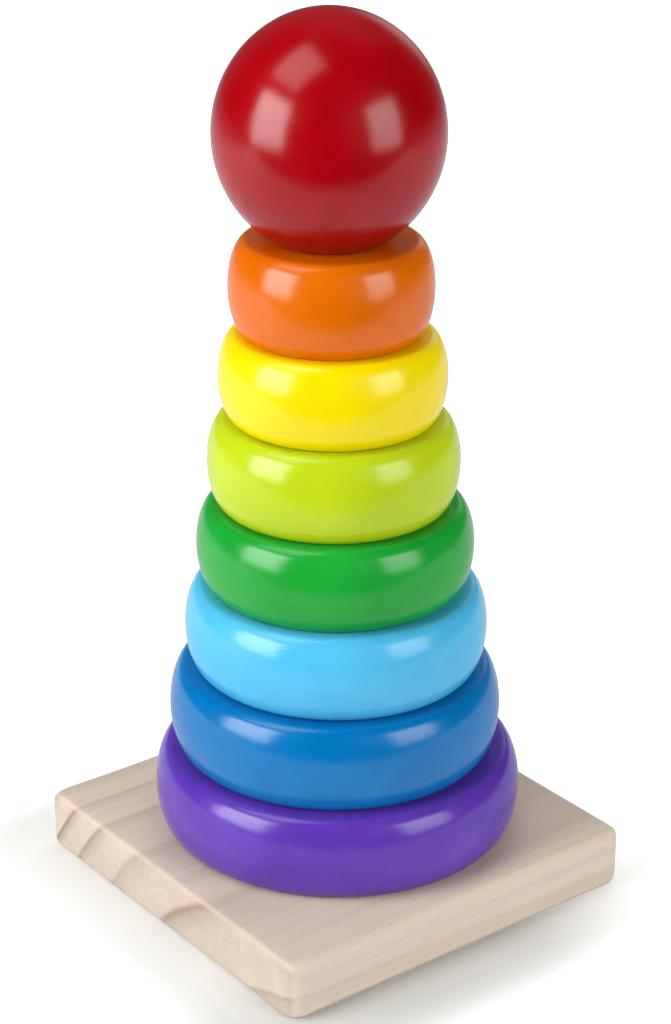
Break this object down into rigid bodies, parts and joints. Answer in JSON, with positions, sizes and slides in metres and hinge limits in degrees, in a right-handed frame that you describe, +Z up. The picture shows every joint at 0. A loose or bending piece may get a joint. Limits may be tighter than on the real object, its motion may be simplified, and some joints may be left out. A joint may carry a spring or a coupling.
{
  "type": "stacking ring toy",
  "caption": "Wooden stacking toy: graded rings in rainbow colours threaded on a dowel that stands in a square pine base, capped by a red ball.",
  "frame": {"origin": "centre of the base's footprint, on the floor", "axes": "+Z up along the post, X and Y along the sides of the base, the board's grain along X"},
  "size_m": [0.1134, 0.1134, 0.2393],
  "materials": {
    "pine_board": "clear satin varnish over pine, grain along X",
    "dowel_wood": "sanded hardwood dowel, clear satin varnish",
    "zinc_steel": "zinc-plated steel",
    "purple_lacquer": "opaque gloss lacquer on turned wood",
    "blue_lacquer": "opaque gloss lacquer on turned wood",
    "light_blue_lacquer": "opaque gloss lacquer on turned wood",
    "green_lacquer": "opaque gloss lacquer on turned wood",
    "lime_lacquer": "opaque gloss lacquer on turned wood",
    "yellow_lacquer": "opaque gloss lacquer on turned wood",
    "orange_lacquer": "opaque gloss lacquer on turned wood",
    "red_lacquer": "opaque gloss lacquer on turned wood"
  },
  "bodies": {
    "stand": {"base_board": "pine_board", "post": "dowel_wood", "post_screw": "zinc_steel"},
    "purple_ring": {"purple_ring": "purple_lacquer"},
    "blue_ring": {"blue_ring": "blue_lacquer"},
    "light_blue_ring": {"light_blue_ring": "light_blue_lacquer"},
    "green_ring": {"green_ring": "green_lacquer"},
    "lime_ring": {"lime_ring": "lime_lacquer"},
    "yellow_ring": {"yellow_ring": "yellow_lacquer"},
    "orange_ring": {"orange_ring": "orange_lacquer"},
    "top_ball": {"top_ball": "red_lacquer"}
  },
  "joints": [
    {"name": "purple_lift", "type": "slide", "parent": "stand", "child": "purple_ring", "axis": [0, 0, 1], "range_m": [0, 0.1854]},
    {"name": "blue_lift", "type": "slide", "parent": "purple_ring", "child": "blue_ring", "axis": [0, 0, 1], "range_m": [0, 0.1624]},
    {"name": "light_blue_lift", "type": "slide", "parent": "blue_ring", "child": "light_blue_ring", "axis": [0, 0, 1], "range_m": [0, 0.1384]},
    {"name": "green_lift", "type": "slide", "parent": "light_blue_ring", "child": "green_ring", "axis": [0, 0, 1], "range_m": [0, 0.1151]},
    {"name": "lime_lift", "type": "slide", "parent": "green_ring", "child": "lime_ring", "axis": [0, 0, 1], "range_m": [0, 0.0922]},
    {"name": "yellow_lift", "type": "slide", "parent": "lime_ring", "child": "yellow_ring", "axis": [0, 0, 1], "range_m": [0, 0.0685]},
    {"name": "orange_lift", "type": "slide", "parent": "yellow_ring", "child": "orange_ring", "axis": [0, 0, 1], "range_m": [0, 0.0456]},
    {"name": "ball_lift", "type": "slide", "parent": "orange_ring", "child": "top_ball", "axis": [0, 0, 1], "range_m": [0, 0.022]}
  ]
}
